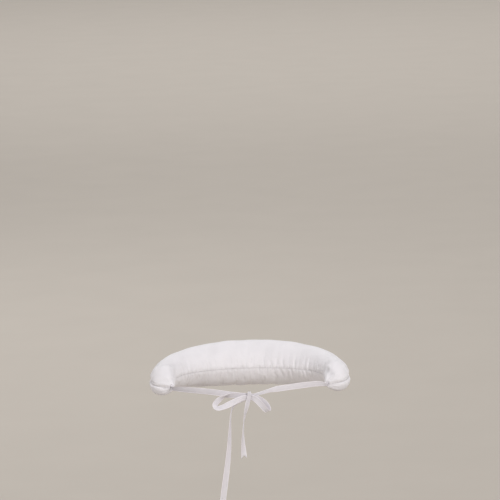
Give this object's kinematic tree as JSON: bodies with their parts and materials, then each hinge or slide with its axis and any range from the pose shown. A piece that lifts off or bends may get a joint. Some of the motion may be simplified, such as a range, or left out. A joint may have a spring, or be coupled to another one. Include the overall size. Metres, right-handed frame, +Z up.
{
  "type": "bum roll",
  "caption": "Stuffed crescent roll worn behind the hips to hold out a skirt, with sewn-in cotton tapes tied in a bow at the front",
  "frame": {"origin": "centre of the opening for the wearer's waist and hips, level with the roll's seam", "axes": "+X to the wearer's left, across the roll's width; +Y to the back, where the roll is; +Z up, along the wearer"},
  "size_m": [0.3814, 0.3319, 0.2917],
  "materials": {
    "cover_cloth": "plain-woven white cotton, stuffed, gathered at the seam",
    "tape": "white woven cotton tape"
  },
  "bodies": {
    "root": {"stuffed_roll": "cover_cloth", "left_tie": "tape", "right_tie": "tape"}
  },
  "joints": []
}
